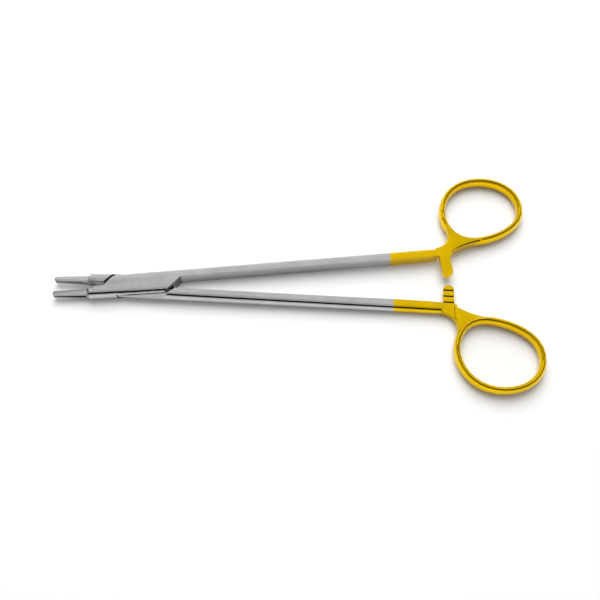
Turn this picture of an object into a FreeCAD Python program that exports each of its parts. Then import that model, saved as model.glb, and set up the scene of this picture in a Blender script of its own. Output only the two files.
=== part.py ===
import FreeCAD, Part
import math
import os

# Needle holder with a box lock, a ratchet and finger rings, lying flat and slightly open.
# Millimetres. The origin is on the pivot axis, in the plane of the flat underside.
# X runs from the jaws to the rings, between the two shanks. Z is up.
# Each half is drawn with its shank and ring on the +Y side and its jaw on the -Y side.
# The female half stays like that. The male half is mirrored across the XZ plane.

# Forging
stock_height = 5.1
middle = stock_height / 2
side_round = 2.1

# Opening: what each half turns from shut jaws to the pose that is drawn
half_opening = 4.0
bite_gap = 0.06

# Jaws, measured along the bite line from the pivot
jaw_tip = 31.0
jaw_width_tip = 2.1
jaw_width_root = 3.15
jaw_height_tip = 1.95
jaw_height_root = 2.4
jaw_side_drop = 0.22
jaw_side_round = 0.55
jaw_nose_radius = 0.8
insert_thickness = 0.9
insert_end = 15.6

# Box lock: its sides are set at the front, at the pivot and at the rear, from the bite line
box_front = 18.2
box_rear = 17.2
box_jaw_side = (3.85, 4.45, 4.7)
box_shank_side = (4.45, 5.0, 5.05)
shoulder_length = 0.7
shoulder_lean = 9.0
front_notch = 11.95
front_notch_angle = 48.5
rear_notch = 15.2
rear_notch_angle = 43.0
rear_notch_gap = 0.7
lock_clearance = 0.12

# Tongue of the male half and the slot that it turns in
slot_mouth = 6.5
slot_height = 2.5
slide_clearance = 0.05
hub_radius = 3.9
tongue_relief = 0.3
pin_diameter = 3.2
pin_clearance = 0.03

# Shanks
shank_inner_start = 1.25
shank_inner_end = 9.3
shank_outer_end = 13.65
shank_bow = 0.2
shank_flare = 0.6
shank_flare_length = 18.15
shank_height_end = 4.05

# Ratchet
ratchet_radius = 116.15
ratchet_width = 4.0
ratchet_lean = 4.5
ratchet_root_radius = 1.0
ratchet_root_depth = 1.0
ratchet_tip_female = 0.9
ratchet_tip_male = 2.0
ratchet_plane = 0.7
ratchet_clearance = 0.04
ratchet_male_thickness = 2.1
tooth_pitch = 2.5
tooth_ramp = 1.13
tooth_depth = 0.42
tooth_count = 3
tooth_first = 1.9
land_margin = 0.3

# Where the shanks end past the ratchet, and their sections, measured back from there
shank_overrun = 1.35
shank_end = ratchet_radius + shank_overrun
shank_stations = (83.5, 65.5, 47.5, 31.5, 19.5, 9.5)

# Finger rings: centre, out from the ratchet and the end of the shank's outer side,
# section, and the radius of the section's centre line at each angle
ring_run = 15.95
ring_rise = 17.35
ring_x = ratchet_radius + ring_run
ring_y = shank_outer_end + ring_rise
ring_wire_width = 2.6
ring_crown = 0.08
ring_bends = 32
ring_radii = (
    (0, 15.26), (45, 14.5), (90, 13.2), (135, 13.8), (180, 15.0),
    (205, 15.75), (228, 16.1), (250, 15.1), (272, 13.6), (315, 13.55),
)

# Web between shank, ratchet and ring: how far before the ratchet it leaves the shank,
# its throat, and the notch behind the ratchet, with the ring's angles where its two
# edges run out
web_lead = 3.35
throat_run = 1.85
throat_rise = 5.35
web_upper_angle = 196.0
web_lower_angle = 262.0
web_inside = 5.0
web_bury = 0.35
web_edge_chamfer = 0.4
notch_run = 0.8
notch_rise = 1.5

# Cutting bodies reach far past the part sideways, and a little above and below it
far = 60.0
past = 1.0
top = stock_height + past


def vec(x, y, z=0.0):
    return FreeCAD.Vector(x, y, z)


def turned(shape, degrees):
    copy = shape.copy()
    copy.rotate(vec(0, 0), vec(0, 0, 1), degrees)
    return copy


def rotate_point(x, y, degrees):
    turn = math.radians(degrees)
    return x * math.cos(turn) - y * math.sin(turn), x * math.sin(turn) + y * math.cos(turn)


def prism(points, low, high):
    corners = [vec(x, y, low) for x, y in points]
    face = Part.Face(Part.makePolygon(corners + corners[:1]))
    return face.extrude(vec(0, 0, high - low))


def side_arc(x, y_flat, reach, low, high):
    """Half ellipse that bulges sideways from the top edge to the bottom edge."""
    centre = vec(x, y_flat, (low + high) / 2)
    crown = vec(x, y_flat, high)
    outer = vec(x, y_flat + reach, centre.z)
    ellipse = Part.Ellipse(crown, outer, centre)
    return Part.ArcOfEllipse(ellipse, 0, math.pi).toShape()


def line(start, end):
    return Part.makeLine(start, end)


def stadium_section(x, near, far_side):
    """Box section: flat top and bottom, both sides fully rounded."""
    low, high = 0.0, stock_height
    left, right = near + side_round, far_side - side_round
    return Part.Wire([
        side_arc(x, right, side_round, low, high),
        line(vec(x, right, low), vec(x, left, low)),
        side_arc(x, left, -side_round, low, high),
        line(vec(x, left, high), vec(x, right, high)),
    ])


def shank_section(x, inner, outer, low, high, round_reach):
    """Shank section: flat inner side with crisp edges, outer side fully rounded."""
    flat_end = outer - round_reach
    return Part.Wire([
        side_arc(x, flat_end, round_reach, low, high),
        line(vec(x, flat_end, low), vec(x, inner, low)),
        line(vec(x, inner, low), vec(x, inner, high)),
        line(vec(x, inner, high), vec(x, flat_end, high)),
    ])


def jaw_section(x, width, height):
    """Jaw section: tall at the bite face, falling to a rounded outer side."""
    high = middle + height / 2
    low = middle - height / 2
    flat_end = width - jaw_side_round
    side_high = high - jaw_side_drop
    side_low = low + jaw_side_drop
    return Part.Wire([
        side_arc(x, flat_end, jaw_side_round, side_low, side_high),
        line(vec(x, flat_end, side_low), vec(x, bite_gap / 2, low)),
        line(vec(x, bite_gap / 2, low), vec(x, bite_gap / 2, high)),
        line(vec(x, bite_gap / 2, high), vec(x, flat_end, side_high)),
    ])


def between(x, widths):
    """Width at x from its values at the front, the pivot and the rear of the box."""
    front, centre, rear = widths
    if x < 0:
        return centre + (front - centre) * (-x / box_front)
    return centre + (rear - centre) * (x / box_rear)


def box_barrel():
    """Outside of the closed box on the jaw side and the shank side of one half."""
    sections = []
    for x in (-box_front, 0.0, box_rear):
        sections.append(stadium_section(x, -between(x, box_jaw_side), between(x, box_shank_side)))
    barrel = Part.makeLoft(sections, True, True)
    # The front shoulders slope down from the box to the jaw
    slope_start = -box_front + shoulder_length
    profile = [
        vec(-box_front, -far, middle - jaw_height_root / 2),
        vec(slope_start, -far, -shoulder_length),
        vec(far, -far, -shoulder_length),
        vec(far, -far, stock_height + shoulder_length),
        vec(slope_start, -far, stock_height + shoulder_length),
        vec(-box_front, -far, middle + jaw_height_root / 2),
    ]
    side = Part.Face(Part.makePolygon(profile + profile[:1])).extrude(vec(0, 2 * far, 0))
    side.rotate(vec(-box_front, 0), vec(0, 0, 1), shoulder_lean)
    return barrel.common(side)


def jaw_blank():
    """Slim jaw from the box to the rounded nose, up to the bite plane."""
    root = box_front - 2 * shoulder_length
    blank = Part.makeLoft([
        jaw_section(-jaw_tip, jaw_width_tip, jaw_height_tip),
        jaw_section(-root, jaw_width_root, jaw_height_root),
    ], True, True)
    blank = blank.mirror(vec(0, 0), vec(0, 1, 0))
    # The nose is rounded in plan
    nose_x = -jaw_tip + jaw_nose_radius
    outer_y = -jaw_width_tip + jaw_nose_radius
    nose = Part.makeCylinder(jaw_nose_radius, stock_height, vec(nose_x, -jaw_nose_radius))
    outer_nose = Part.makeCylinder(jaw_nose_radius, stock_height, vec(nose_x, outer_y))
    bridge = prism([
        (-jaw_tip, -jaw_nose_radius), (-jaw_tip, outer_y), (0, outer_y), (0, -jaw_nose_radius),
    ], 0, stock_height)
    behind = prism([(nose_x, 0), (nose_x, -jaw_tip), (0, -jaw_tip), (0, 0)], 0, stock_height)
    return blank.common(nose.fuse([outer_nose, bridge, behind]))


def notch_front():
    """Region in front of the box on the far side of the bite line, in bite-line axes."""
    reach = far / math.tan(math.radians(front_notch_angle))
    return [
        (-far, -bite_gap / 2), (-front_notch, -bite_gap / 2),
        (-front_notch + reach, far), (-far, far),
    ]


def notch_rear():
    """Region behind the box on the near side, where the other shank leaves it."""
    slope = math.radians(rear_notch_angle)
    return [
        (rear_notch - far / math.tan(slope), -far),
        (rear_notch + shank_inner_start / math.tan(slope), shank_inner_start),
        (far, shank_inner_start), (far, -far),
    ]


def lock_bar(clearance, height, side):
    """Slab through the pivot, from the front notch line across to the side it leaves by."""
    slant = math.degrees(math.atan2(between(-slot_mouth, box_shank_side), front_notch - slot_mouth))
    half_width = front_notch * math.sin(math.radians(slant)) - clearance
    bar = Part.makeBox(2 * far, 2 * half_width, height, vec(-far, -half_width, middle - height / 2))
    return turned(bar, side * slant)


def shank_inner_at(x):
    start_x, start_y = rotate_point(box_rear, shank_inner_start, half_opening)
    share = (x - start_x) / (ratchet_radius - ratchet_width / 2 - start_x)
    chord = start_y + (shank_inner_end - start_y) * share
    flare = max(0.0, 1 + (x - ratchet_radius) / shank_flare_length)
    return chord + 4 * shank_bow * share * (1 - share) + shank_flare * flare * flare


def shank_outer_at(x):
    start_x, start_y = rotate_point(box_rear, box_shank_side[2], half_opening)
    return start_y + (shank_outer_end - start_y) * (x - start_x) / (shank_end - start_x)


def shank(low_end, high_end):
    """Slender shank from the rear of the box to the web."""
    start = shank_section(
        box_rear, shank_inner_start, box_shank_side[2], 0, stock_height, side_round)
    start.rotate(vec(0, 0), vec(0, 0, 1), half_opening)
    sections = [start]
    for back in shank_stations + (0.0,):
        x = shank_end - back
        share = (x - box_rear) / (shank_end - box_rear)
        low = low_end * share
        high = stock_height + (high_end - stock_height) * share
        reach = side_round * (high - low) / stock_height
        sections.append(shank_section(x, shank_inner_at(x), shank_outer_at(x), low, high, reach))
    return Part.makeLoft(sections, True, True)


def ring_point(angle, radius):
    turn = math.radians(angle)
    return vec(ring_x + radius * math.cos(turn), ring_y + radius * math.sin(turn), middle)


def ring_radius_at(angle):
    for (low, low_radius), (high, high_radius) in zip(ring_radii, ring_radii[1:]):
        if low <= angle <= high:
            return low_radius + (high_radius - low_radius) * (angle - low) / (high - low)


def run_off(start, way, end):
    """Direction in which a circular arc that leaves start along way comes to end."""
    chord = end - start
    return chord * (2 * chord.dot(way) / chord.dot(chord)) - way


def tangent_arc(start, way, end):
    """Circular arc that leaves start along way and comes to end."""
    chord = end - start
    bulge = vec(chord.y, -chord.x) * (0.5 * math.tan(way.getAngle(chord) / 2))
    if way.cross(chord).z < 0:
        bulge = bulge * -1
    return Part.Arc(start, (start + end) * 0.5 + bulge, end).toShape()


def finger_ring():
    """Closed ring with an oval section, in short straight-sided bends."""
    curve = Part.BSplineCurve()
    curve.interpolate(Points=[ring_point(*station) for station in ring_radii], PeriodicFlag=True)
    length = curve.length()
    sections = []
    for index in range(ring_bends):
        place = curve.parameterAtDistance(length * index / ring_bends)
        point = curve.value(place)
        across = curve.tangent(place)[0].cross(vec(0, 0, 1)).normalize()
        oval = Part.Ellipse(point + vec(0, 0, middle), point + across * (ring_wire_width / 2), point)
        sections.append(Part.Wire([oval.toShape()]))
    return Part.makeLoft(sections, True, True, True)


def web(low, high):
    """Web that joins shank, ratchet and ring."""
    reach = ring_wire_width / 2 - web_bury
    web_start = ratchet_radius - web_lead
    start = vec(web_start, shank_outer_at(web_start))
    shank_way = (vec(shank_end, shank_outer_at(shank_end)) - start).normalize()
    throat = vec(ratchet_radius + throat_run, shank_outer_end + throat_rise)
    upper = ring_point(web_upper_angle, ring_radius_at(web_upper_angle) + reach)
    lower = ring_point(web_lower_angle, ring_radius_at(web_lower_angle) + reach)
    upper.z = lower.z = 0
    inside = [
        ring_point(angle, ring_radius_at(angle))
        for angle in (web_upper_angle - web_inside,
                      (web_upper_angle + web_lower_angle) / 2,
                      web_lower_angle + web_inside)
    ]
    for point in inside:
        point.z = 0
    notch = vec(ratchet_radius + ratchet_width / 2, shank_inner_at(ratchet_radius))
    crotch = notch + vec(notch_run, notch_rise)
    edges = [
        tangent_arc(start, shank_way, throat),
        tangent_arc(throat, run_off(start, shank_way, throat), upper),
        line(upper, inside[0]),
        Part.Arc(*inside).toShape(),
        line(inside[2], lower),
        tangent_arc(crotch, run_off(notch, vec(0, 1), crotch), lower),
        tangent_arc(notch, vec(0, 1), crotch),
        line(notch, vec(web_start, shank_inner_at(web_start))),
        line(vec(web_start, shank_inner_at(web_start)), start),
    ]
    plate = Part.Face(Part.Wire(Part.__sortEdges__(edges))).extrude(vec(0, 0, high - low))
    # The two edges that show, along the throat and round the notch, are chamfered
    rims = []
    for edge in plate.Edges:
        if isinstance(edge.Curve, Part.Circle):
            centre = edge.Curve.Center
            if math.hypot(centre.x - ring_x, centre.y - ring_y) > 2 * ring_wire_width:
                rims.append(edge)
    plate = plate.makeChamfer(web_edge_chamfer, rims)
    plate.translate(vec(0, 0, low))
    return plate


def ratchet_bar(tip, low, high, teeth_on_top):
    """Ratchet bar that points from the shank towards the other half."""
    half = ratchet_width / 2
    depth = ratchet_root_depth
    root = shank_inner_at(ratchet_radius)
    length = root - tip
    fillet = ratchet_root_radius
    bend = fillet * (1 - math.sqrt(0.5))
    left_bend = [(-half - fillet, 0), (-half - bend, -bend), (-half, -fillet)]
    end_bend = [(-half, half - length), (0, -length), (half, half - length)]
    right_bend = [(half, -fillet), (half + bend, -bend), (half + fillet, 0)]
    outline = []
    last = vec(-half - fillet, depth, low)
    for arc in (left_bend, end_bend, right_bend):
        points = [vec(x, y, low) for x, y in arc]
        outline += [line(last, points[0]), Part.Arc(*points).toShape()]
        last = points[-1]
    outline.append(line(last, vec(half + fillet, depth, low)))
    outline.append(line(vec(half + fillet, depth, low), vec(-half - fillet, depth, low)))
    bar = Part.Face(Part.Wire(outline)).extrude(vec(0, 0, high - low))
    # Saw teeth: each has a ramp on the side that the other bar comes from
    for index in range(tooth_count):
        crest = -length + tooth_first + index * tooth_pitch
        ramp = crest + tooth_ramp
        level = high if teeth_on_top else low
        floor = level - tooth_depth if teeth_on_top else level + tooth_depth
        groove = [vec(-far, crest, level), vec(-far, crest, floor), vec(-far, ramp, level)]
        bar = bar.cut(Part.Face(Part.makePolygon(groove + groove[:1])).extrude(vec(2 * far, 0, 0)))
    bar.rotate(vec(0, 0), vec(0, 0, 1), ratchet_lean)
    bar.translate(vec(ratchet_radius - length / 2 * math.sin(math.radians(ratchet_lean)), root, 0))
    return bar


def ratchet_land(other_tip, low, high):
    """Step that lets the other half's ratchet bar pass over or under this half when shut."""
    half = ratchet_width / 2 + land_margin
    end = 2 * half_opening + math.degrees((land_margin - other_tip) / ratchet_radius)
    outer = Part.makeCylinder(ratchet_radius + half, high - low, vec(0, 0, low), vec(0, 0, 1), end)
    inner = Part.makeCylinder(ratchet_radius - half, high - low, vec(0, 0, low), vec(0, 0, 1), end)
    return outer.cut(inner)


def grip(low_end, high_end, bar):
    """Shank, web, ratchet bar and finger ring of one half."""
    return shank(low_end, high_end).fuse([web(low_end, high_end), bar, finger_ring()])


def split_insert(body):
    """Parts the hard jaw insert from the forging that carries it."""
    back = -bite_gap / 2 - insert_thickness
    slab = prism([(-far, back), (-insert_end, back), (-insert_end, 0), (-far, 0)], 0, stock_height)
    return body.cut(slab), body.common(slab)


def pin():
    return Part.makeCylinder(pin_diameter / 2, stock_height)


def pin_bore(clearance):
    radius = pin_diameter / 2 + clearance
    return Part.makeCylinder(radius, top + past, vec(0, 0, -past))


def female_half():
    """Half with the box: its jaw, the slotted box, the shank and the ring."""
    front = prism(notch_front(), -past, top)
    rear = prism(notch_rear(), -past, top)
    box = box_barrel().fuse(jaw_blank()).cut(front).cut(rear)
    box = box.cut(lock_bar(0, slot_height, -1)).cut(pin_bore(0))
    box, insert = split_insert(box)
    low_end = stock_height - ring_crown - shank_height_end
    high_end = stock_height - ring_crown
    under = middle + ratchet_plane + ratchet_clearance
    bar = ratchet_bar(ratchet_tip_female, under, high_end, False)
    handle = grip(low_end, high_end, bar).cut(ratchet_land(ratchet_tip_male, -past, under))
    return turned(box, half_opening).fuse(handle), turned(insert, half_opening)


def male_half():
    """Half with the tongue that passes through the box."""
    barrel = box_barrel().fuse(jaw_blank())
    # Full height in front of and behind the box, a thin tongue inside it
    slope = math.radians(front_notch_angle)
    corner = -front_notch - lock_clearance / math.sin(slope)
    reach = far / math.tan(slope)
    front_block = prism([
        (-far, -bite_gap / 2), (corner, -bite_gap / 2), (corner + reach, -far), (-far, -far),
    ], -past, top)
    slope = math.radians(rear_notch_angle)
    back = rear_notch + rear_notch_gap / math.sin(slope)
    rear_block = prism([
        (back - far / math.tan(slope), far),
        (back - shank_inner_start / math.tan(slope), shank_inner_start),
        (far, shank_inner_start), (far, far),
    ], -past, top)
    tongue = lock_bar(lock_clearance, slot_height - 2 * tongue_relief, 1)
    hub_height = slot_height - 2 * slide_clearance
    hub = Part.makeCylinder(hub_radius, hub_height, vec(0, 0, middle - hub_height / 2))
    box = barrel.common(front_block)
    box = box.fuse([barrel.common(rear_block), barrel.common(tongue), hub])
    box = box.cut(pin_bore(pin_clearance))
    box, insert = split_insert(box)
    low_end = ring_crown
    high_end = ring_crown + shank_height_end
    over = middle + ratchet_plane - ratchet_clearance
    bar = ratchet_bar(ratchet_tip_male, over - ratchet_male_thickness, over, True)
    handle = grip(low_end, high_end, bar).cut(ratchet_land(ratchet_tip_female, over, top))
    half = turned(box, half_opening).fuse(handle)
    insert = turned(insert, half_opening)
    return half.mirror(vec(0, 0), vec(0, 1, 0)), insert.mirror(vec(0, 0), vec(0, 1, 0))


def save(name, shape):
    os.makedirs("parts", exist_ok=True)
    shape.exportStep("parts/" + name + ".step")


female, female_insert = female_half()
male, male_insert = male_half()
save("female_half", female)
save("male_half", male)
save("female_jaw_insert", female_insert)
save("male_jaw_insert", male_insert)
save("pivot_pin", pin())
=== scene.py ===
import bmesh
import bpy
import math
from mathutils import Matrix, Vector


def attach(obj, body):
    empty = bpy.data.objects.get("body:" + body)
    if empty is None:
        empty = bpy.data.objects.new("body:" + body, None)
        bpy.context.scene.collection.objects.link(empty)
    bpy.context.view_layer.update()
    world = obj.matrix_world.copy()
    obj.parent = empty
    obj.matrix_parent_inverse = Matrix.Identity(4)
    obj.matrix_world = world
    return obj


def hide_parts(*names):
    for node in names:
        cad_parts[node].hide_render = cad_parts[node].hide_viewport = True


# Surgical needle holder on a white table, seen from above at the photograph's angle.
# Lengths are in metres and angles in degrees, except where a comment says otherwise.
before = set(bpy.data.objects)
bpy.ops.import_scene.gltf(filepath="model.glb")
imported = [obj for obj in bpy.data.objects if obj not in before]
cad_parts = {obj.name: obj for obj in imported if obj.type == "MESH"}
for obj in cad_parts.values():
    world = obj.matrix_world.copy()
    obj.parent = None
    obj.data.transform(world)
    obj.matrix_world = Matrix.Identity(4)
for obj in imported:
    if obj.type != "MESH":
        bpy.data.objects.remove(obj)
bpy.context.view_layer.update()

# Camera fitted to the photograph's rings and shanks, with lens and sensor in millimetres
CAMERA_PLACE = (0.059634, -0.146825, 0.277013)
CAMERA_ELEVATION = 63.0
CAMERA_YAW = 0.5365
CAMERA_ROLL = 0.408
CAMERA_LENS = 49.836
CAMERA_SENSOR = 36.0
CAMERA_CLIP_START = 0.01

# Colours in linear light
WHITE = (1.0, 1.0, 1.0, 1.0)
STEEL = (0.56, 0.56, 0.565, 1.0)
STEEL_DULL = (0.50, 0.50, 0.51, 1.0)
GOLD = (0.88, 0.57, 0.003, 1.0)
GOLD_DULL = (0.79, 0.505, 0.002, 1.0)
CARBIDE = (0.45, 0.45, 0.46, 1.0)
CARBIDE_DULL = (0.37, 0.37, 0.38, 1.0)
BITE_FACE = (0.25, 0.25, 0.26, 1.0)
# Painted shade for the lock's walls and shoulders that face along X
WALL_SHADE = (0.17, 0.17, 0.175, 1.0)
# Near-black painted shade for corners and gaps
CREVICE_SHADE = (0.03, 0.03, 0.032, 1.0)

# Parts of a noise's range over which a tone and a roughness change
TONE_NOISE = (0.35, 0.65)
ROUGH_NOISE = (0.3, 0.7)
FORGED_ROUGHNESS = (0.07, 0.11)
RIVET_ROUGHNESS = (0.08, 0.12)
CARBIDE_ROUGHNESS = (0.10, 0.16)

# Radius that the shading gives to sharp edges, with the samples it takes
FORGED_EDGE = 0.00020
CARBIDE_EDGE = 0.00012
EDGE_SAMPLES = 8

# Grain: noise scales per metre, and how strongly and how high it stands out
BRUSHING = (260.0, 5200.0, 5200.0)
CLOUD_SCALE = 140.0
GRAIN_SCALE = 5200.0
SINTER_SCALE = 6000.0
TURNING_SCALE = 9000.0
BRUSHED_SHARE = 0.7
GRAIN_SHARE = 0.3
FORGED_BUMP = (0.06, 0.00004)
CARBIDE_BUMP = (0.15, 0.00004)
RIVET_BUMP = (0.03, 0.00002)

# Where the gilding starts on the shanks, from the pivot, how soft its edge is and how it wavers
GILT_START = 0.0953
GILT_FEATHER = 0.00012
GILT_WAVER = 0.00004
GILT_WAVE_SCALE = 900.0

# Painted shade in corners and gaps: the reach of the shelter that darkens, and the shelter at which
# metal is fully shaded or fully lit.
# The foot of the front shoulders adds to each, between four places along X
SHELTER_REACH = 0.0007
SHELTER_DARK = 0.34
SHELTER_LIT = 0.74
SHELTER_SAMPLES = 12
FOOT_RISE = (-0.0194, -0.0184)
FOOT_FALL = (-0.0178, -0.0172)
FOOT_REACH = 0.0008
FOOT_DARK = 0.20
FOOT_LIT = 0.22

# Walls of the lock that get painted shade: how far they lean towards X, and how far from the pivot
# they lie
WALL_LEAN = (0.35, 0.6)
WALL_ZONE = (0.0190, 0.0200)

# How far up or down a face of the insert looks: faces that look sideways, the bite face among them,
# are darker
TOP_FACING = (0.35, 0.8)

# Slant of the jaws' outer sides, as what it adds to the rise of their normal, and where it
# begins along X
JAW_SLANT = 1.2
JAW_ZONE = (-0.0183, -0.0185)

# Slight crown of the ground flats: slope per metre across, the middle line of box and shank
# as its place at the pivot and its slope, where one passes into the other, how far the crown
# reaches to both sides, and where it ends along X
CROWN = 18.0
BOX_LINE = (0.000275, 0.0699)
SHANK_LINE = (0.003066, 0.0741)
BOX_TO_SHANK = (0.009, 0.017)
BOX_CROWN_REACH = 0.0048
SHANK_CROWN_REACH = 0.0026
CROWN_END = (0.100, 0.112)

# Fine cross-cut of the bite faces, with lengths in millimetres, in axes along the bite line
HALF_OPENING = 4.0
BITE_GAP = 0.06
STOCK_MIDDLE = 2.55
GROOVE_DEPTH = 0.12
GROOVE_HALF_WIDTH = 0.17
GROOVE_RISE = 0.06
GROOVE_HALF_LENGTH = 2.2
GROOVE_PITCH = 0.62
GROOVE_START = -19.95
GROOVE_COUNT = 19
GROOVE_SLANT = 45.0
WELD_DISTANCE = 0.0005
MILLIMETRE = 0.001

# Table: half its side, its tones, and the light painted onto it as a glow, near the part and beyond
# the lamp's reach
TABLE_HALF = 40.0
TABLE_DULL = (0.90, 0.90, 0.90, 1.0)
TABLE_BRIGHT = (0.93, 0.93, 0.93, 1.0)
TABLE_NOISE_SCALE = 6.0
TABLE_ROUGHNESS = 0.8
GLOW_NEAR = 0.08
GLOW_FAR = 0.34
GLOW_ZONE = (0.5, 2.2)

# Surroundings. Ramps over the direction's Y run from the camera's side to the far side as
# from, to, tone at from, tone at to
OVERHEAD_RAMP = (-0.5, 0.30, 0.52, 0.74)
OVERHEAD_RISE = (0.30, 0.62, 0.0, 0.23)
HORIZON_RAMP = (-0.5, 0.63, 0.72, 0.93)
HORIZON_TOP = 35.0
HORIZON_FULL = 25.0

# Dark gap in the surroundings: the elevations at which it begins and ends, and the direction's
# Y at which it stops. It is deepest towards the camera, and softer where the direction's X is
# far to either side
GAP_BEGIN = (18.0, 21.0)
GAP_END = (56.0, 60.0)
GAP_STOP = (0.54, 0.42)
GAP_SIDES = (0.55, 0.80)
GAP_DEPTH = 0.98
GAP_SIDE_DEPTH = 0.80

# Overhead lamp
LAMP_PLACE = (0.06, 0.54, 0.87)
LAMP_AIM = (0.06, 0.0, 0.0)
LAMP_SIZE = 1.12
LAMP_POWER = 10.2


class Graph:
    """Short calls for building one node tree."""

    def __init__(self, tree):
        self.tree = tree
        tree.nodes.clear()

    def add(self, kind, links=(), **values):
        node = self.tree.nodes.new(kind)
        for name, value in values.items():
            setattr(node, name, value)
        for socket, source in dict(links).items():
            if isinstance(source, bpy.types.NodeSocket):
                self.tree.links.new(source, node.inputs[socket])
            else:
                node.inputs[socket].default_value = source
        return node

    def math(self, operation, *sources):
        node = self.add("ShaderNodeMath", dict(enumerate(sources)), operation=operation)
        return node.outputs[0]

    def mix(self, factor, low, high):
        node = self.add("ShaderNodeMix", {0: factor, 6: low, 7: high}, data_type="RGBA")
        return node.outputs[2]

    def span(self, value, low, high, to_low=0.0, to_high=1.0, smooth=False):
        node = self.add(
            "ShaderNodeMapRange", {0: value, 1: low, 2: high, 3: to_low, 4: to_high},
            interpolation_type="SMOOTHSTEP" if smooth else "LINEAR")
        return node.outputs[0]

    def fade(self, value, low, high):
        return self.span(value, low, high, 1.0, 0.0, smooth=True)

    def noise(self, vector, scale=1.0, detail=2.0, roughness=0.5):
        node = self.add(
            "ShaderNodeTexNoise",
            {"Vector": vector, "Scale": scale, "Detail": detail, "Roughness": roughness})
        return node.outputs["Fac"]

    def stretched(self, vector, scale):
        return self.add("ShaderNodeMapping", {"Vector": vector, "Scale": scale}).outputs[0]

    def axes(self, vector):
        return self.add("ShaderNodeSeparateXYZ", {0: vector}).outputs

    def bump(self, height, strength, distance, normal=None):
        links = {"Height": height, "Strength": strength, "Distance": distance}
        if normal is not None:
            links["Normal"] = normal
        return self.add("ShaderNodeBump", links).outputs[0]

    def rounded(self, radius):
        return self.add("ShaderNodeBevel", {"Radius": radius}, samples=EDGE_SAMPLES).outputs[0]


def material(name):
    """New material with its graph, the place on the object and the direction it faces."""
    made = bpy.data.materials.new(name)
    made.use_nodes = True
    graph = Graph(made.node_tree)
    spots = graph.add("ShaderNodeTexCoord").outputs
    return made, graph, spots["Object"], spots["Normal"]


def painted_shade(graph, x, color):
    """Painted shade: the colour darkens in the tight corners and the gaps between the pieces."""
    # The foot of the shoulders, where jaw and box meet, is the tightest corner
    before = graph.span(x, *FOOT_RISE, smooth=True)
    after = graph.fade(x, *FOOT_FALL)
    foot = graph.math("MULTIPLY", before, after)
    reach = graph.math("MULTIPLY_ADD", foot, FOOT_REACH, SHELTER_REACH)
    shelter = graph.add("ShaderNodeAmbientOcclusion", {"Distance": reach}, samples=SHELTER_SAMPLES)
    lit_at = graph.math("MULTIPLY_ADD", foot, FOOT_LIT, SHELTER_LIT)
    dark_at = graph.math("MULTIPLY_ADD", foot, FOOT_DARK, SHELTER_DARK)
    lit = graph.span(shelter.outputs["AO"], dark_at, lit_at, smooth=True)
    # Painted shade: sheltered places take the near-black colour
    return graph.mix(lit, CREVICE_SHADE, color)


def crowned(graph, axes, side):
    """Height of a flat that falls away a little on both sides of the half's middle line."""
    x = axes["X"]
    y = graph.math("MULTIPLY", axes["Y"], side)
    box = graph.math("MULTIPLY_ADD", x, BOX_LINE[1], BOX_LINE[0])
    shank = graph.math("MULTIPLY_ADD", x, SHANK_LINE[1], SHANK_LINE[0])
    blend = graph.span(x, *BOX_TO_SHANK, smooth=True)
    step = graph.math("MULTIPLY", blend, graph.math("SUBTRACT", shank, box))
    middle = graph.math("ADD", box, step)
    reach = graph.span(blend, 0.0, 1.0, BOX_CROWN_REACH, SHANK_CROWN_REACH)
    away = graph.math("ABSOLUTE", graph.math("SUBTRACT", y, middle))
    across = graph.math("MINIMUM", away, reach)
    height = graph.math("MULTIPLY", graph.math("MULTIPLY", across, across), -CROWN / 2)
    return graph.math("MULTIPLY", height, graph.fade(x, *CROWN_END))


def leaning(graph, x, normal):
    """Normal of the jaws' outer sides, which are ground to a slant."""
    jaw = graph.span(x, *JAW_ZONE, 0.0, JAW_SLANT)
    slant = graph.add("ShaderNodeCombineXYZ", {2: jaw}).outputs[0]
    tilted = graph.add("ShaderNodeVectorMath", {0: normal, 1: slant}, operation="ADD").outputs[0]
    return graph.add("ShaderNodeVectorMath", {0: tilted}, operation="NORMALIZE").outputs[0]


def metal(graph, color, roughness, normal):
    shader = graph.add(
        "ShaderNodeBsdfPrincipled",
        {"Base Color": color, "Metallic": 1.0, "Roughness": roughness, "Normal": normal})
    graph.add("ShaderNodeOutputMaterial", {"Surface": shader.outputs[0]})


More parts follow.
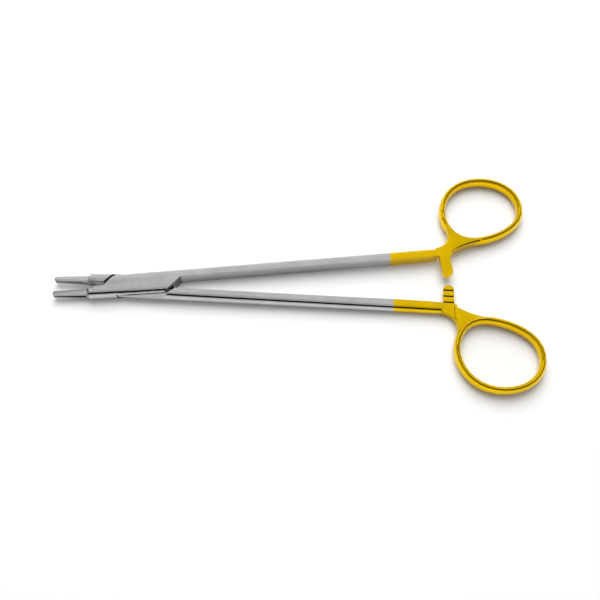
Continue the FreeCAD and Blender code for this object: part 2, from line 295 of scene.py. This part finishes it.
def forging(name, side):
    """Satin steel that turns into bright gilding towards the finger ring."""
    made, graph, place, facing = material(name)
    axes = graph.axes(place)
    x = axes["X"]
    # Fine brushing runs along the shank
    brushed = graph.noise(graph.stretched(place, BRUSHING), detail=3.0, roughness=0.6)
    cloud = graph.noise(place, CLOUD_SCALE, detail=3.0, roughness=0.55)
    grain = graph.noise(place, GRAIN_SCALE, roughness=0.6)
    wave = graph.noise(place, GILT_WAVE_SCALE, detail=1.0)
    waver = graph.span(wave, *ROUGH_NOISE, -GILT_WAVER, GILT_WAVER)
    edge_place = graph.math("ADD", x, waver)
    gilt = graph.span(
        edge_place, GILT_START - GILT_FEATHER, GILT_START + GILT_FEATHER, smooth=True)
    steel = graph.mix(graph.span(cloud, *TONE_NOISE), STEEL_DULL, STEEL)
    gold = graph.mix(graph.span(cloud, *TONE_NOISE), GOLD_DULL, GOLD)
    # Painted shade: the lock's slanting walls and the shoulders, which face along X, are painted
    # dark
    lean = graph.math("ABSOLUTE", graph.axes(facing)["X"])
    slanting = graph.span(lean, *WALL_LEAN, smooth=True)
    in_lock = graph.span(graph.math("ABSOLUTE", x), *WALL_ZONE, 1.0, 0.0)
    steel = graph.mix(graph.math("MULTIPLY", slanting, in_lock), steel, WALL_SHADE)
    color = painted_shade(graph, x, graph.mix(gilt, steel, gold))
    steel_roughness = graph.span(brushed, *ROUGH_NOISE, *FORGED_ROUGHNESS)
    gold_roughness = graph.span(cloud, *ROUGH_NOISE, *FORGED_ROUGHNESS)
    rough = graph.add("ShaderNodeMix", {0: gilt, 2: steel_roughness, 3: gold_roughness})
    height = graph.math(
        "ADD", graph.math("MULTIPLY", brushed, BRUSHED_SHARE),
        graph.math("MULTIPLY", grain, GRAIN_SHARE))
    ground = leaning(graph, x, graph.rounded(FORGED_EDGE))
    crown = graph.bump(crowned(graph, axes, side), strength=1.0, distance=1.0, normal=ground)
    metal(graph, color, rough.outputs[0], graph.bump(height, *FORGED_BUMP, crown))
    return made


def carbide():
    """Grey sintered carbide, darker on the faces that look sideways, such as the bite face."""
    made, graph, place, facing = material("tungsten_carbide")
    grain = graph.noise(place, SINTER_SCALE, roughness=0.6)
    top = graph.span(
        graph.math("ABSOLUTE", graph.axes(facing)["Z"]), *TOP_FACING, smooth=True)
    ground = graph.mix(graph.span(grain, *TONE_NOISE), CARBIDE_DULL, CARBIDE)
    color = painted_shade(graph, graph.axes(place)["X"], graph.mix(top, BITE_FACE, ground))
    rough = graph.span(grain, *ROUGH_NOISE, *CARBIDE_ROUGHNESS)
    metal(graph, color, rough, graph.bump(grain, *CARBIDE_BUMP, graph.rounded(CARBIDE_EDGE)))
    return made


def rivet():
    """The pin's end, ground flush in circles."""
    made, graph, place, _ = material("ground_rivet")
    axes = graph.axes(place)
    squares = [graph.math("POWER", axes[name], 2.0) for name in ("X", "Y")]
    radius = graph.math("SQRT", graph.math("ADD", *squares))
    turning = graph.add(
        "ShaderNodeCombineXYZ", {0: graph.math("MULTIPLY", radius, TURNING_SCALE)})
    rings = graph.noise(turning.outputs[0])
    color = graph.mix(graph.span(rings, *ROUGH_NOISE), STEEL_DULL, STEEL)
    rough = graph.span(rings, *ROUGH_NOISE, *RIVET_ROUGHNESS)
    metal(graph, color, rough, graph.bump(rings, *RIVET_BUMP))
    return made


def cutter(slant, side):
    """Row of parallel V-shaped bars that cross the bite face at a slant."""
    made = bmesh.new()
    along = Vector((math.cos(slant), 0.0, math.sin(slant))) * GROOVE_HALF_LENGTH
    across = Vector((-math.sin(slant), 0.0, math.cos(slant)))
    out = Vector((0.0, side, 0.0))
    wide = GROOVE_HALF_WIDTH * (GROOVE_DEPTH + GROOVE_RISE) / GROOVE_DEPTH
    for index in range(GROOVE_COUNT):
        face = Vector((GROOVE_START - index * GROOVE_PITCH, -side * BITE_GAP / 2, STOCK_MIDDLE))
        corners = (
            face - out * GROOVE_DEPTH,
            face + out * GROOVE_RISE + across * wide,
            face + out * GROOVE_RISE - across * wide)
        near = [made.verts.new(corner - along) for corner in corners]
        far = [made.verts.new(corner + along) for corner in corners]
        made.faces.new(near)
        made.faces.new(far[::-1])
        for start, end in ((0, 1), (1, 2), (2, 0)):
            made.faces.new((near[start], far[start], far[end], near[end]))
    bmesh.ops.recalc_face_normals(made, faces=made.faces)
    return made


def linked(name, data):
    thing = bpy.data.objects.new(name, data)
    bpy.context.collection.objects.link(thing)
    return thing


def as_object(name, made):
    mesh = bpy.data.meshes.new(name)
    made.to_mesh(mesh)
    made.free()
    return linked(name, mesh)


def serrated(node, body, side, finish):
    """Jaw insert with two families of fine grooves cut across its bite face."""
    to_bite = (
        Matrix.Rotation(math.radians(-side * HALF_OPENING), 4, "Z")
        @ Matrix.Scale(1 / MILLIMETRE, 4))
    made = bmesh.new()
    made.from_mesh(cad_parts[node].data)
    bmesh.ops.transform(made, matrix=to_bite, verts=made.verts)
    bmesh.ops.remove_doubles(made, verts=made.verts, dist=WELD_DISTANCE)
    blank = as_object(node + "_blank", made)
    tools = [
        as_object("cutter", cutter(math.radians(slant), side))
        for slant in (GROOVE_SLANT, -GROOVE_SLANT)]
    for tool in tools:
        cut = blank.modifiers.new("cut", "BOOLEAN")
        cut.operation = "DIFFERENCE"
        cut.solver = "EXACT"
        cut.object = tool
    bpy.context.view_layer.update()
    whole = blank.evaluated_get(bpy.context.evaluated_depsgraph_get())
    mesh = bpy.data.meshes.new_from_object(whole)
    mesh.transform(to_bite.inverted())
    for thing in tools + [blank]:
        bpy.data.objects.remove(thing)
    mesh.materials.clear()
    mesh.materials.append(finish)
    piece = linked(node + "_cross_cut", mesh)
    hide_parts(node)
    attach(piece, body)


def dress(node, finish):
    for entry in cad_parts[node].material_slots:
        entry.material = finish


def floor():
    """White table, slightly uneven in tone."""
    mesh = bpy.data.meshes.new("table_top")
    corners = [(x * TABLE_HALF, y * TABLE_HALF, 0) for x, y in ((-1, -1), (1, -1), (1, 1), (-1, 1))]
    mesh.from_pydata(corners, [], [(0, 1, 2, 3)])
    table = linked("table_top", mesh)
    made, graph, place, _ = material("white_table")
    tone = graph.mix(graph.noise(place, TABLE_NOISE_SCALE), TABLE_DULL, TABLE_BRIGHT)
    # Painted light: the table glows a little near the part, which lifts its shadows, and more
    # beyond the lamp's reach, where it keeps the tone of the horizon
    away = graph.add("ShaderNodeVectorMath", {0: place}, operation="LENGTH").outputs["Value"]
    glow = graph.span(away, *GLOW_ZONE, GLOW_NEAR, GLOW_FAR, smooth=True)
    shader = graph.add(
        "ShaderNodeBsdfPrincipled",
        {"Base Color": tone, "Metallic": 0.0, "Roughness": TABLE_ROUGHNESS,
         "Emission Color": WHITE, "Emission Strength": glow})
    graph.add("ShaderNodeOutputMaterial", {"Surface": shader.outputs[0]})
    mesh.materials.append(made)


def sine(angle):
    return math.sin(math.radians(angle))


def surroundings():
    """White all round, with a dark gap low on the camera's side and at both ends."""
    world = bpy.data.worlds.new("studio")
    world.use_nodes = True
    graph = Graph(world.node_tree)
    axes = graph.axes(graph.add("ShaderNodeTexCoord").outputs["Generated"])
    height = axes["Z"]
    side = axes["Y"]
    overhead = graph.math("ADD", graph.span(side, *OVERHEAD_RAMP), graph.span(side, *OVERHEAD_RISE))
    horizon = graph.span(side, *HORIZON_RAMP)
    low = graph.span(height, sine(HORIZON_TOP), sine(HORIZON_FULL), smooth=True)
    change = graph.math("MULTIPLY", low, graph.math("SUBTRACT", horizon, overhead))
    tone = graph.math("ADD", overhead, change)
    rise = graph.span(height, *map(sine, GAP_BEGIN), smooth=True)
    fall = graph.fade(height, *map(sine, GAP_END))
    near = graph.span(side, *GAP_STOP, smooth=True)
    gap = graph.math("MULTIPLY", graph.math("MULTIPLY", rise, fall), near)
    # The gap is deepest towards the camera and softer at both ends of the table
    left_or_right = graph.math("ABSOLUTE", axes["X"])
    deepest = graph.span(left_or_right, *GAP_SIDES, GAP_DEPTH, GAP_SIDE_DEPTH, smooth=True)
    passed = graph.math("SUBTRACT", 1.0, graph.math("MULTIPLY", gap, deepest))
    tone = graph.math("MULTIPLY", tone, passed)
    color = graph.add("ShaderNodeCombineXYZ", {0: tone, 1: tone, 2: tone}).outputs[0]
    background = graph.add("ShaderNodeBackground", {"Color": color, "Strength": 1.0})
    graph.add("ShaderNodeOutputWorld", {"Surface": background.outputs[0]})
    bpy.context.scene.world = world


def overhead_lamp():
    """One soft lamp that lights the table. What the metal mirrors is the surroundings."""
    light = bpy.data.lights.new("overhead_softbox", "AREA")
    light.shape = "DISK"
    light.size = LAMP_SIZE
    light.energy = LAMP_POWER
    lamp = linked("overhead_softbox", light)
    lamp.location = LAMP_PLACE
    lamp.visible_glossy = False
    aim = Vector(LAMP_AIM) - lamp.location
    lamp.rotation_euler = aim.to_track_quat("-Z", "Y").to_euler()


def camera():
    data = bpy.data.cameras.new("photo_camera")
    data.sensor_width = CAMERA_SENSOR
    data.lens = CAMERA_LENS
    data.clip_start = CAMERA_CLIP_START
    eye = linked("photo_camera", data)
    eye.matrix_world = (
        Matrix.Translation(CAMERA_PLACE)
        @ Matrix.Rotation(math.radians(-CAMERA_YAW), 4, "Z")
        @ Matrix.Rotation(math.radians(90.0 - CAMERA_ELEVATION), 4, "X")
        @ Matrix.Rotation(math.radians(-CAMERA_ROLL), 4, "Z"))
    bpy.context.scene.camera = eye


camera()
floor()
surroundings()
overhead_lamp()
dress("female_half", forging("satin_steel_and_gilt_female", 1.0))
dress("male_half", forging("satin_steel_and_gilt_male", -1.0))
dress("pivot_pin", rivet())
insert_finish = carbide()
serrated("female_jaw_insert", "female", 1.0, insert_finish)
serrated("male_jaw_insert", "male", -1.0, insert_finish)
bpy.context.scene.view_settings.view_transform = "Standard"
